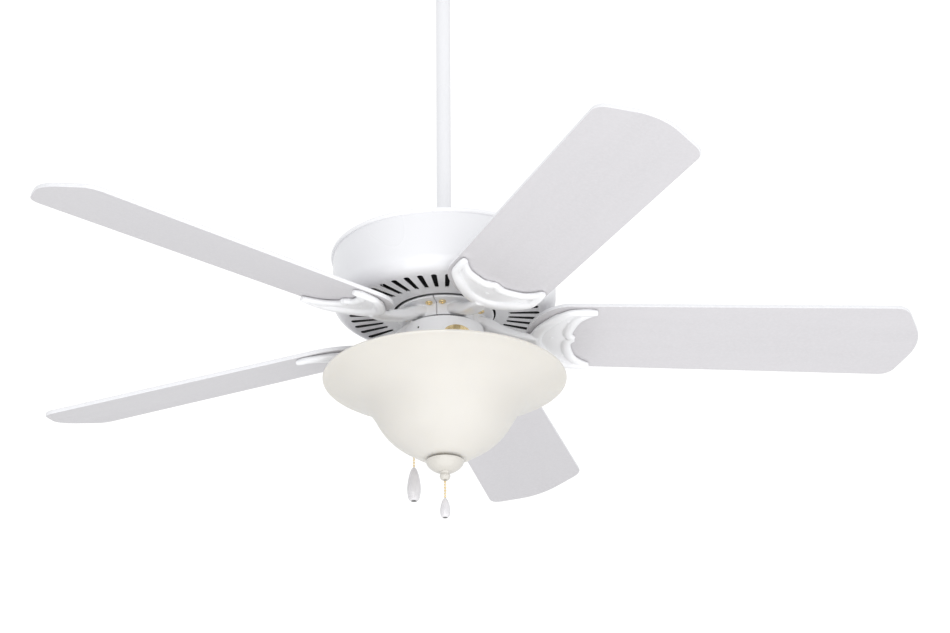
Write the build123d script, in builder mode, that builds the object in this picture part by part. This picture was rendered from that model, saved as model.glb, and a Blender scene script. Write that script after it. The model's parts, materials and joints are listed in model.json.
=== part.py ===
"""Five-blade ceiling fan with a glass bowl light, hung on a downrod.

The origin is the middle of the hanger bracket's top face, where it meets the
ceiling box.  +Z is up, so the fan hangs towards negative Z.  Heights of the
motor, blades and light are given from the blade plane, BLADE_Z.
"""
import os
from math import cos, pi, radians, sin

from build123d import *

os.makedirs("parts", exist_ok=True)

# ---------------------------------------------------------------- driving sizes
BLADE_COUNT = 5
SWEEP_RADIUS = 660.4  # 52 inch sweep
BLADE_PITCH = -14.8  # degrees, trailing edge low
BLADE_RISE = 0.9  # degrees, tips slightly higher than the roots
BLADE_THICKNESS = 5.5
FIRST_BLADE = 5.0  # azimuth of blade 1, degrees
DOWNROD_LENGTH = 457.2  # 18 inch
DOWNROD_RADIUS = 10.0
DOWNROD_BORE = 7.8
BALL_RADIUS = 30.0
BALL_Z = -48.0
BLADE_Z = -625.0
OUTLET_BOX_SPACING = 88.9  # ceiling box screw spacing
HOUSING_RADIUS = 152.0
LIP_RADIUS = 154.9
SHEET = 1.5
SHAFT_RADIUS = 8.0
SHAFT_BORE = 5.0
RUNNING_FIT = 0.05
SWITCH_RADIUS = 53.5
BOWL_RADIUS = 163.0
GLASS = 4.0
BEAD_RADIUS = 1.6
BEAD_PITCH = 4.2
VENT_COUNT = 42


def level(height):
    """World height of something measured from the blade plane."""
    return BLADE_Z + height


def plane_at(height):
    """Horizontal sketch plane at a height measured from the blade plane."""
    return Plane.XY.offset(level(height))


def beside(curve, distance, steps):
    """Points at a distance to the right of a sketch curve, for the other face of a thin wall."""
    points = []
    for step in range(steps + 1):
        position = curve @ (step / steps)
        direction = curve % (step / steps)
        points.append((position.X + distance * direction.Y, position.Y - distance * direction.X))
    return points


def tilted_axis_plane(azimuth, radius, height, droop):
    """Plane whose normal points outwards at an azimuth, drooping below the horizon."""
    outward = (cos(radians(azimuth)) * cos(radians(droop)),
               sin(radians(azimuth)) * cos(radians(droop)),
               -sin(radians(droop)))
    origin = (radius * cos(radians(azimuth)), radius * sin(radians(azimuth)), level(height))
    return Plane(origin=origin, x_dir=(-sin(radians(azimuth)), cos(radians(azimuth)), 0), z_dir=outward)


# ---------------------------------------------------------------- ceiling mount
PLATE = 2.5
BRACKET_LENGTH = 124.0
BRACKET_WIDTH = 34.0
CANOPY_RADIUS = 66.0
CANOPY_DEPTH = 76.0
CANOPY_HOLE = 25.0
SEAT_TOP = BALL_Z - 10.0
SEAT_BOTTOM = BALL_Z - 20.0
SEAT_RADIUS = 35.0
SEAT_GAP = 0.3
ARM_WIDTH = 24.0
TAB_DEPTH = 16.0
BOX_SCREW_HOLE = 2.6
CANOPY_SCREW_Z = -10.0

with BuildPart() as hanger_bracket:
    with BuildSketch(Plane.XY.offset(-PLATE)):
        Rectangle(BRACKET_LENGTH, BRACKET_WIDTH)
        with Locations((-OUTLET_BOX_SPACING / 2, 0), (OUTLET_BOX_SPACING / 2, 0)):
            Circle(BOX_SCREW_HOLE, mode=Mode.SUBTRACT)
        Circle(11, mode=Mode.SUBTRACT)
    extrude(amount=PLATE)
    # ears folded down at both ends take the canopy screws
    with Locations((BRACKET_LENGTH / 2 - PLATE / 2, 0, 0), (-BRACKET_LENGTH / 2 + PLATE / 2, 0, 0)):
        Box(PLATE, BRACKET_WIDTH / 2, TAB_DEPTH, align=(Align.CENTER, Align.CENTER, Align.MAX))
    # two straps carry the seat ring of the hanger ball
    with Locations((SEAT_RADIUS - PLATE / 2, 0, 0), (-SEAT_RADIUS + PLATE / 2, 0, 0)):
        Box(PLATE, ARM_WIDTH, -SEAT_BOTTOM, align=(Align.CENTER, Align.CENTER, Align.MAX))
    with BuildSketch(Plane.XY.offset(SEAT_BOTTOM)):
        Circle(SEAT_RADIUS)
    extrude(amount=SEAT_TOP - SEAT_BOTTOM)
    with Locations((0, 0, BALL_Z)):
        Sphere(BALL_RADIUS + SEAT_GAP, mode=Mode.SUBTRACT)
    with BuildSketch(Plane.XY.offset(SEAT_BOTTOM)):
        Circle(20.5)
    extrude(amount=2, mode=Mode.SUBTRACT)
    # tab that runs in the groove of the ball and keeps the rod from turning
    with BuildSketch(Plane.XY.offset(SEAT_BOTTOM + 2)):
        with Locations((0, 30.5)):
            Rectangle(3.6, 8)
    extrude(amount=SEAT_TOP - SEAT_BOTTOM + 4)
    # screw holes of the folded ears
    with BuildSketch(Plane.YZ.offset(-BRACKET_LENGTH / 2)):
        with Locations((0, CANOPY_SCREW_Z)):
            Circle(2.0)
    extrude(amount=BRACKET_LENGTH, mode=Mode.SUBTRACT)
hanger_bracket.part.label = "hanger_bracket"
export_step(hanger_bracket.part, "parts/hanger_bracket.step")

CANOPY_WALL = 1.2
CANOPY_TOP = -0.5
with BuildPart() as canopy:
    with BuildSketch(Plane.XZ):
        with BuildLine():
            canopy_curve = Spline((CANOPY_RADIUS, -16), (59, -48), (42, -66), (CANOPY_HOLE, -CANOPY_DEPTH),
                                  tangents=((0, -1), (-1, -0.45)))
            canopy_inside = Spline(beside(canopy_curve, CANOPY_WALL, 8))
            Line(canopy_curve @ 1, canopy_inside @ 1)
            Polyline(canopy_curve @ 0, (CANOPY_RADIUS, CANOPY_TOP), (CANOPY_RADIUS - CANOPY_WALL, CANOPY_TOP),
                     canopy_inside @ 0)
        make_face()
    revolve(axis=Axis.Z)
    with BuildSketch(Plane.YZ.offset(-80)):
        with Locations((0, CANOPY_SCREW_Z)):
            Circle(2.2)
    extrude(amount=160, mode=Mode.SUBTRACT)
canopy.part.label = "canopy"
export_step(canopy.part, "parts/canopy.step")

with BuildPart() as canopy_screws:
    for side in (0, 180):
        with BuildSketch(Plane((0, 0, CANOPY_SCREW_Z), x_dir=(0, 1, 0), z_dir=(cos(radians(side)), 0, 0)).offset(
                CANOPY_RADIUS + 0.1)):
            Circle(4.5)
        extrude(amount=2.4)
        with BuildSketch(Plane((0, 0, CANOPY_SCREW_Z), x_dir=(0, 1, 0), z_dir=(cos(radians(side)), 0, 0)).offset(57)):
            Circle(1.9)
        extrude(amount=CANOPY_RADIUS - 56.5)
canopy_screws.part.label = "canopy_screws"
export_step(canopy_screws.part, "parts/canopy_screws.step")

# ---------------------------------------------------------------- hanger ball and downrod
ROD_TOP = BALL_Z + 14.0
ROD_BOTTOM = ROD_TOP - DOWNROD_LENGTH
PIN_RADIUS = 3.2
YOKE_PIN_Z = ROD_BOTTOM + 14.0
GROOVE_WIDTH = 5.0

with BuildPart() as hanger_ball:
    with Locations((0, 0, BALL_Z)):
        Sphere(BALL_RADIUS)
    with BuildSketch(Plane.XY.offset(BALL_Z + 20)):
        Circle(BALL_RADIUS)
    extrude(amount=BALL_RADIUS, mode=Mode.SUBTRACT)
    with BuildSketch(Plane.XY.offset(BALL_Z - BALL_RADIUS)):
        Circle(DOWNROD_RADIUS)
    extrude(amount=2 * BALL_RADIUS, mode=Mode.SUBTRACT)
    # meridian groove for the bracket's tab
    with BuildSketch(Plane.YZ.offset(-GROOVE_WIDTH / 2)):
        with Locations((0, BALL_Z)):
            Circle(BALL_RADIUS + 1)
            Circle(BALL_RADIUS - 6, mode=Mode.SUBTRACT)
        with Locations((-BALL_RADIUS, BALL_Z)):
            Rectangle(2 * BALL_RADIUS, 3 * BALL_RADIUS, mode=Mode.SUBTRACT)
    extrude(amount=GROOVE_WIDTH, mode=Mode.SUBTRACT)
    with BuildSketch(Plane.YZ.offset(-BALL_RADIUS)):
        with Locations((0, BALL_Z)):
            Circle(PIN_RADIUS)
    extrude(amount=2 * BALL_RADIUS, mode=Mode.SUBTRACT)
    with BuildSketch(Plane.XZ.offset(DOWNROD_RADIUS - 1)):
        with Locations((0, BALL_Z + 10)):
            Circle(2.5)
    extrude(amount=BALL_RADIUS, mode=Mode.SUBTRACT)
hanger_ball.part.label = "hanger_ball"
export_step(hanger_ball.part, "parts/hanger_ball.step")

with BuildPart() as ball_pin:
    with BuildSketch(Plane.YZ.offset(-26)):
        with Locations((0, BALL_Z)):
            Circle(PIN_RADIUS)
    extrude(amount=52)
    chamfer(ball_pin.edges().filter_by(GeomType.CIRCLE), length=0.6)
ball_pin.part.label = "ball_pin"
export_step(ball_pin.part, "parts/ball_pin.step")

with BuildPart() as downrod:
    with BuildSketch(Plane.XY.offset(ROD_BOTTOM)):
        Circle(DOWNROD_RADIUS)
        Circle(DOWNROD_BORE, mode=Mode.SUBTRACT)
    extrude(amount=DOWNROD_LENGTH)
    with BuildSketch(Plane.YZ.offset(-2 * DOWNROD_RADIUS)):
        with Locations((0, BALL_Z), (0, YOKE_PIN_Z)):
            Circle(PIN_RADIUS)
    extrude(amount=4 * DOWNROD_RADIUS, mode=Mode.SUBTRACT)
downrod.part.label = "downrod"
export_step(downrod.part, "parts/downrod.step")

COLLAR_RADIUS = 17.0
COLLAR_TOP = 168.0
FLANGE_TOP = 129.0
FLANGE_BOTTOM = 125.0
FLANGE_RADIUS = 27.0
COUPLING_BOTTOM = 108.0

with BuildPart() as coupling:
    with BuildSketch(plane_at(COUPLING_BOTTOM)):
        Circle(14)
    extrude(amount=FLANGE_BOTTOM - COUPLING_BOTTOM)
    with BuildSketch(plane_at(FLANGE_BOTTOM)):
        Circle(FLANGE_RADIUS)
    extrude(amount=FLANGE_TOP - FLANGE_BOTTOM)
    with BuildSketch(plane_at(FLANGE_TOP)):
        Circle(COLLAR_RADIUS)
    extrude(amount=COLLAR_TOP - FLANGE_TOP)
    fillet(coupling.edges().group_by(Axis.Z)[-1], radius=2)
    with BuildSketch(Plane.XY.offset(ROD_BOTTOM)):
        Circle(DOWNROD_RADIUS)
    extrude(amount=60, mode=Mode.SUBTRACT)
    with BuildSketch(plane_at(COUPLING_BOTTOM)):
        Circle(SHAFT_RADIUS)
    extrude(amount=60, mode=Mode.SUBTRACT)
    with BuildSketch(Plane.YZ.offset(-FLANGE_RADIUS)):
        with Locations((0, YOKE_PIN_Z)):
            Circle(PIN_RADIUS)
    extrude(amount=2 * FLANGE_RADIUS, mode=Mode.SUBTRACT)
    with BuildSketch(Plane.XZ.offset(DOWNROD_RADIUS - 1)):
        with Locations((0, level(COLLAR_TOP - 8))):
            Circle(2.5)
    extrude(amount=COLLAR_RADIUS, mode=Mode.SUBTRACT)
coupling.part.label = "coupling"
export_step(coupling.part, "parts/coupling.step")

PIN_REACH = 24.0
with BuildPart() as coupling_pin:
    with BuildSketch(Plane.YZ.offset(-PIN_REACH)):
        with Locations((0, YOKE_PIN_Z)):
            Circle(PIN_RADIUS)
    extrude(amount=PIN_REACH + COLLAR_RADIUS)
    with BuildSketch(Plane.YZ.offset(COLLAR_RADIUS)):
        with Locations((0, YOKE_PIN_Z)):
            Circle(5)
    extrude(amount=2.5)
    # cross hole for the cotter pin
    with BuildSketch(Plane.XY.offset(YOKE_PIN_Z - 6)):
        with Locations((-PIN_REACH + 3, 0)):
            Circle(1.1)
    extrude(amount=12, mode=Mode.SUBTRACT)
coupling_pin.part.label = "coupling_pin"
export_step(coupling_pin.part, "parts/coupling_pin.step")

with BuildPart() as cotter_pin:
    with BuildLine():
        cotter_path = FilletPolyline((-PIN_REACH + 3, 0, YOKE_PIN_Z - 9), (-PIN_REACH + 3, 0, YOKE_PIN_Z + 8),
                                     (-PIN_REACH - 3, 0, YOKE_PIN_Z + 8), (-PIN_REACH - 3, 0, YOKE_PIN_Z - 6),
                                     radius=2.5)
    with BuildSketch(Plane(origin=cotter_path @ 0, z_dir=cotter_path % 0)):
        Circle(0.9)
    sweep()
cotter_pin.part.label = "cotter_pin"
export_step(cotter_pin.part, "parts/cotter_pin.step")

with BuildPart() as set_screws:
    for height, length in ((BALL_Z + 10, 12), (level(COLLAR_TOP - 8), 9)):
        with BuildSketch(Plane.XZ.offset(DOWNROD_RADIUS)):
            with Locations((0, height)):
                Circle(2.5)
        extrude(amount=length)
        with BuildSketch(Plane.XZ.offset(DOWNROD_RADIUS + length - 2)):
            with Locations((0, height)):
                RegularPolygon(1.5, 6)
        extrude(amount=2, mode=Mode.SUBTRACT)
set_screws.part.label = "set_screws"
export_step(set_screws.part, "parts/set_screws.step")

# ---------------------------------------------------------------- motor
SHAFT_TOP = 130.0
SHAFT_BOTTOM = -8.0
CORE_LOW = 60.0
CORE_HIGH = 84.0
STATOR_RADIUS = 62.0
POLE_COUNT = 16
AIR_GAP = 1.0
ROTOR_RADIUS = 78.0
SHELL_RADIUS = 84.0
SHELL_WALL = 4.0
SHELL_LOW = 42.0
SHELL_SPLIT = 72.0
SHELL_HIGH = 102.0
BEARING_RADIUS = 17.5
BEARING_WIDTH = 11.0
FLYWHEEL_LOW = 29.3
FLYWHEEL_HIGH = 37.0
FLYWHEEL_RADIUS = 66.0
FLYWHEEL_BORE = 24.0
IRON_SCREW_CIRCLE = 52.5
IRON_SCREW_SPREAD = 26.0  # degrees either side of the blade
SHELL_SCREW_CIRCLE = 33.0

with BuildPart() as motor_shaft:
    with BuildSketch(plane_at(SHAFT_BOTTOM)):
        Circle(SHAFT_RADIUS)
        Circle(SHAFT_BORE, mode=Mode.SUBTRACT)
    extrude(amount=SHAFT_TOP - SHAFT_BOTTOM)
    chamfer(motor_shaft.edges().group_by(Axis.Z)[0], length=0.5)
motor_shaft.part.label = "motor_shaft"
export_step(motor_shaft.part, "parts/motor_shaft.step")

POLE_PITCH = 360 / POLE_COUNT
with BuildPart() as stator_core:
    with BuildSketch(plane_at(CORE_LOW)):
        Circle(STATOR_RADIUS)
        Circle(SHAFT_RADIUS, mode=Mode.SUBTRACT)
        with PolarLocations(46, POLE_COUNT):
            Rectangle(20, 7, mode=Mode.SUBTRACT)
        with PolarLocations(STATOR_RADIUS, POLE_COUNT):
            Rectangle(16, 2.2, mode=Mode.SUBTRACT)
    extrude(amount=CORE_HIGH - CORE_LOW)
stator_core.part.label = "stator_core"
export_step(stator_core.part, "parts/stator_core.step")

COIL_OVERHANG = 6.0
with BuildPart() as stator_windings:
    # wire ends wrapped over the poles, above and below the core
    for low in (CORE_LOW - COIL_OVERHANG, CORE_HIGH):
        with BuildSketch(plane_at(low)):
            with PolarLocations(46, POLE_COUNT, start_angle=POLE_PITCH / 2):
                RectangleRounded(19, 15, 3)
        extrude(amount=COIL_OVERHANG)
    # wire lying in the slots
    with BuildSketch(plane_at(CORE_LOW)):
        with PolarLocations(46, POLE_COUNT):
            Rectangle(19, 6)
    extrude(amount=CORE_HIGH - CORE_LOW)
stator_windings.part.label = "stator_windings"
export_step(stator_windings.part, "parts/stator_windings.step")

with BuildPart() as rotor_core:
    with BuildSketch(plane_at(CORE_LOW)):
        Circle(ROTOR_RADIUS)
        Circle(STATOR_RADIUS + AIR_GAP, mode=Mode.SUBTRACT)
    extrude(amount=CORE_HIGH - CORE_LOW)
rotor_core.part.label = "rotor_core"
export_step(rotor_core.part, "parts/rotor_core.step")


def shell_half(outside, inside, seat):
    """Profile points of one rotor shell half, from its rim to its bearing seat."""
    inner_radius = ROTOR_RADIUS
    direction = 1 if outside > inside else -1
    floor = outside - direction * SHELL_WALL
    return [(SHELL_RADIUS, inside), (SHELL_RADIUS, outside - direction * 8), (SHELL_RADIUS - 8, outside),
            (BEARING_RADIUS + 5, outside), (BEARING_RADIUS + 5, seat), (BEARING_RADIUS, seat),
            (BEARING_RADIUS, floor - direction * BEARING_WIDTH * 0.3),
            (BEARING_RADIUS + 6, floor), (inner_radius - 8, floor), (inner_radius, floor - direction * 6),
            (inner_radius, inside)]


with BuildPart() as rotor_shell_top:
    with BuildSketch(Plane.XZ):
        with BuildLine():
            Polyline([(r, level(h)) for r, h in shell_half(SHELL_HIGH, SHELL_SPLIT, SHELL_HIGH + 3)], close=True)
        make_face()
    revolve(axis=Axis.Z)
    with BuildSketch(plane_at(SHELL_HIGH - SHELL_WALL)):
        with PolarLocations(52, 10):
            SlotOverall(26, 8)
    extrude(amount=SHELL_WALL + 1, mode=Mode.SUBTRACT)
rotor_shell_top.part.label = "rotor_shell_top"
export_step(rotor_shell_top.part, "parts/rotor_shell_top.step")

with BuildPart() as rotor_shell_bottom:
    with BuildSketch(Plane.XZ):
        with BuildLine():
            Polyline([(r, level(h)) for r, h in shell_half(SHELL_LOW, SHELL_SPLIT, SHELL_LOW - 3)], close=True)
        make_face()
    revolve(axis=Axis.Z)
    # mounting ring that the flywheel is screwed to
    with BuildSketch(plane_at(FLYWHEEL_HIGH)):
        Circle(40)
        Circle(28, mode=Mode.SUBTRACT)
    extrude(amount=SHELL_LOW - FLYWHEEL_HIGH)
    with BuildSketch(plane_at(SHELL_LOW - 1)):
        with PolarLocations(58, 10):
            SlotOverall(20, 8)
    extrude(amount=SHELL_WALL + 2, mode=Mode.SUBTRACT)
rotor_shell_bottom.part.label = "rotor_shell_bottom"
export_step(rotor_shell_bottom.part, "parts/rotor_shell_bottom.step")


def bearing_profile(low):
    """Cross-section of a sealed ball bearing with its two shallow seal grooves."""
    high = low + BEARING_WIDTH
    bore = SHAFT_RADIUS + RUNNING_FIT
    return [(bore, low), (11, low), (11, low + 0.6), (14.5, low + 0.6), (14.5, low), (BEARING_RADIUS, low),
            (BEARING_RADIUS, high), (14.5, high), (14.5, high - 0.6), (11, high - 0.6), (11, high), (bore, high)]


with BuildPart() as upper_bearing:
    with BuildSketch(Plane.XZ):
        with BuildLine():
            Polyline([(r, level(h)) for r, h in bearing_profile(SHELL_HIGH + 3 - BEARING_WIDTH)], close=True)
        make_face()
    revolve(axis=Axis.Z)
upper_bearing.part.label = "upper_bearing"
export_step(upper_bearing.part, "parts/upper_bearing.step")

with BuildPart() as lower_bearing:
    with BuildSketch(Plane.XZ):
        with BuildLine():
            Polyline([(r, level(h)) for r, h in bearing_profile(SHELL_LOW - 3)], close=True)
        make_face()
    revolve(axis=Axis.Z)
lower_bearing.part.label = "lower_bearing"
export_step(lower_bearing.part, "parts/lower_bearing.step")

blade_azimuths = [FIRST_BLADE + number * 360 / BLADE_COUNT for number in range(BLADE_COUNT)]
iron_screw_azimuths = [azimuth + side for azimuth in blade_azimuths for side in (-IRON_SCREW_SPREAD, IRON_SCREW_SPREAD)]


def around(radius, azimuths):
    """Points on a circle at the given azimuths."""
    return [(radius * cos(radians(azimuth)), radius * sin(radians(azimuth))) for azimuth in azimuths]


with BuildPart() as flywheel:
    with BuildSketch(plane_at(FLYWHEEL_LOW)):
        Circle(FLYWHEEL_RADIUS)
        Circle(FLYWHEEL_BORE, mode=Mode.SUBTRACT)
        with Locations(around(IRON_SCREW_CIRCLE, iron_screw_azimuths)):
            Circle(2.2, mode=Mode.SUBTRACT)
        with PolarLocations(SHELL_SCREW_CIRCLE, 5):
            Circle(2.5, mode=Mode.SUBTRACT)
    extrude(amount=FLYWHEEL_HIGH - FLYWHEEL_LOW)
flywheel.part.label = "flywheel"
export_step(flywheel.part, "parts/flywheel.step")

with BuildPart() as rotor_screws:
    # flywheel to lower shell
    with BuildSketch(plane_at(FLYWHEEL_LOW)):
        with PolarLocations(SHELL_SCREW_CIRCLE, 5):
            Circle(2.5)
    extrude(amount=FLYWHEEL_HIGH - FLYWHEEL_LOW)
    with BuildSketch(plane_at(FLYWHEEL_LOW - 3)):
        with PolarLocations(SHELL_SCREW_CIRCLE, 5):
            Circle(4.8)
            RegularPolygon(2, 6, mode=Mode.SUBTRACT)
    extrude(amount=3)
rotor_screws.part.label = "rotor_screws"
export_step(rotor_screws.part, "parts/rotor_screws.step")

# ---------------------------------------------------------------- motor housing
HOUSING_FLOOR = 30.2
HOUSING_HOLE = 70.0
FLOOR_EDGE = 131.0
SHOULDER_RADIUS = 21.0
LIP_LOW = 111.0
LIP_HIGH = 117.4
VENT_INNER = 87.0
VENT_OUTER = 129.5
FIRST_VENT = -87.7  # azimuth of the first vent, degrees
VENT_SHARE = 0.40  # width of a vent as a share of its pitch


def housing_outline(inset):
    """Outside of the housing wall from the floor hole to the lip, moved inwards by inset."""
    radius = SHOULDER_RADIUS - inset
    centre = (HOUSING_RADIUS - SHOULDER_RADIUS, level(HOUSING_FLOOR + SHOULDER_RADIUS))
    floor = level(HOUSING_FLOOR + inset)
    wall = HOUSING_RADIUS - inset
    Line((HOUSING_HOLE, floor), (centre[0], floor))
    CenterArc(centre, radius, -90, 90)
    Line((wall, centre[1]), (wall, level(LIP_LOW)))


# radial vents, wider towards the outside, with rounded ends
inner_half = VENT_SHARE * pi * VENT_INNER / VENT_COUNT
outer_half = VENT_SHARE * pi * VENT_OUTER / VENT_COUNT
with BuildSketch() as vent:
    with BuildLine():
        vent_side = Line((VENT_INNER + inner_half, inner_half), (VENT_OUTER - outer_half, outer_half))
        vent_end = ThreePointArc(vent_side @ 1, (VENT_OUTER, 0), (VENT_OUTER - outer_half, -outer_half))
        vent_back = Line(vent_end @ 1, (VENT_INNER + inner_half, -inner_half))
        ThreePointArc(vent_back @ 1, (VENT_INNER, 0), vent_side @ 0)
    make_face()

with BuildPart() as housing_body:
    with BuildSketch(Plane.XZ):
        with BuildLine():
            housing_outline(0)
            housing_outline(SHEET)
            Line((HOUSING_HOLE, level(HOUSING_FLOOR)), (HOUSING_HOLE, level(HOUSING_FLOOR + SHEET)))
            Line((HOUSING_RADIUS, level(LIP_LOW)), (HOUSING_RADIUS - SHEET, level(LIP_LOW)))
        make_face()
    revolve(axis=Axis.Z)
    # inward flange that the cover sits on
    with BuildSketch(plane_at(LIP_LOW - SHEET)):
        Circle(HOUSING_RADIUS - SHEET)
        Circle(HOUSING_RADIUS - 14, mode=Mode.SUBTRACT)
    extrude(amount=SHEET)
    with BuildSketch(plane_at(HOUSING_FLOOR - 1)):
        add([vent.sketch.rotate(Axis.Z, FIRST_VENT + number * 360 / VENT_COUNT) for number in range(VENT_COUNT)])
    extrude(amount=SHEET + 2, mode=Mode.SUBTRACT)
housing_body.part.label = "housing_body"
export_step(housing_body.part, "parts/housing_body.step")

HOUSING_SCREW_CIRCLE = HOUSING_RADIUS - 10.5
with BuildPart() as housing_top:
    with BuildSketch(Plane.XZ):
        with BuildLine():
            cover_under = Polyline((14.2, level(FLANGE_BOTTOM - SHEET)), (60, level(FLANGE_BOTTOM - SHEET)),
                                   (HOUSING_RADIUS - 18, level(LIP_LOW)), (LIP_RADIUS - 1, level(LIP_LOW)))
            Line(cover_under @ 1, (LIP_RADIUS, level(LIP_LOW + 1)))
            Line((LIP_RADIUS, level(LIP_LOW + 1)), (LIP_RADIUS, level(LIP_HIGH - 2.5)))
            lip_round = Spline((LIP_RADIUS, level(LIP_HIGH - 2.5)), (LIP_RADIUS - 1.2, level(LIP_HIGH - 0.6)),
                               (LIP_RADIUS - 4, level(LIP_HIGH)))
            Polyline(lip_round @ 1, (LIP_RADIUS - 8, level(LIP_LOW + SHEET + 1)),
                     (HOUSING_RADIUS - 18, level(LIP_LOW + SHEET + 1)), (61, level(FLANGE_BOTTOM)),
                     (14.2, level(FLANGE_BOTTOM)), cover_under @ 0)
        make_face()
    revolve(axis=Axis.Z)
    with BuildSketch(plane_at(LIP_LOW - 1)):
        with PolarLocations(100, 24):
            SlotOverall(44, 6)
        with PolarLocations(HOUSING_SCREW_CIRCLE, 4, start_angle=45):
            Circle(2.2)
    extrude(amount=30, mode=Mode.SUBTRACT)
housing_top.part.label = "housing_top"
export_step(housing_top.part, "parts/housing_top.step")

with BuildPart() as housing_screws:
    with BuildSketch(plane_at(LIP_LOW)):
        with PolarLocations(HOUSING_SCREW_CIRCLE, 4, start_angle=45):
            Circle(2.1)
    extrude(amount=SHEET + 1)
    with BuildSketch(plane_at(LIP_LOW + SHEET + 1)):
        with PolarLocations(HOUSING_SCREW_CIRCLE, 4, start_angle=45):
            Circle(4)
    extrude(amount=2.4)
housing_screws.part.label = "housing_screws"
export_step(housing_screws.part, "parts/housing_screws.step")

# ---------------------------------------------------------------- blades and blade irons
ROOT_CENTRE = 170.0
ROOT_LENGTH = 59.0
ROOT_HALF = 65.1
TIP_CORNER = 626.8
TIP_HALF = 73.3
FOOT_TOP = FLYWHEEL_LOW
FOOT_THICK = 3.2
FOOT_OUTER = 67.5
WALL_OUTER = 46.5
WALL_INNER = 42.5
WALL_LOW = 9.5
IRON_RIM = 9.0
PANEL_THICK = 3.0
BLADE_BOLTS = ((146, 0), (166, -36), (166, 36))


def blade_plane(height):
    """Plane of the pitched blades at azimuth 0, moved up along its own normal."""
    rise = radians(BLADE_RISE)
    pitch = radians(BLADE_PITCH)
    along = (cos(rise), 0, sin(rise))
    normal = (-sin(rise) * cos(pitch), -sin(pitch), cos(rise) * cos(pitch))
    return Plane(origin=(0, 0, BLADE_Z), x_dir=along, z_dir=normal).offset(height)


with BuildPart() as blade:
    with BuildSketch(blade_plane(0)):
        with BuildLine():
            near_edge = Line((ROOT_CENTRE, -ROOT_HALF), (TIP_CORNER, -TIP_HALF))
            tip = Polyline(near_edge @ 1, (SWEEP_RADIUS, 0), (TIP_CORNER, TIP_HALF))
            far_edge = Line(tip @ 1, (ROOT_CENTRE, ROOT_HALF))
            EllipticalCenterArc((ROOT_CENTRE, 0), ROOT_LENGTH, ROOT_HALF, start_angle=90, arc_size=180)
        make_face()
        fillet(vertices().sort_by(Axis.X)[-3:-1], radius=24)
        fillet(vertices().sort_by(Axis.X)[-1], radius=70)
    extrude(amount=BLADE_THICKNESS)
    fillet(blade.edges().filter_by(lambda edge: abs(edge.tangent_at(0.5).dot(blade_plane(0).z_dir)) < 0.01),
           radius=1.2)
    with BuildSketch(blade_plane(-1)):
        with Locations(BLADE_BOLTS):
            Circle(2.6)
    extrude(amount=2 * BLADE_THICKNESS, mode=Mode.SUBTRACT)

ARM_STATIONS = (
    # distance from the axis, middle height, width, depth
    (44.5, 18.2, 27.0, 15.0),
    (60.0, 14.5, 25.0, 16.0),
    (78.0, 6.5, 24.0, 13.5),
    (95.0, 1.6, 24.0, 11.0),
    (120.0, -3.4, 22.0, 9.0),
)
HORN_TIP = 203.0

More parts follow.
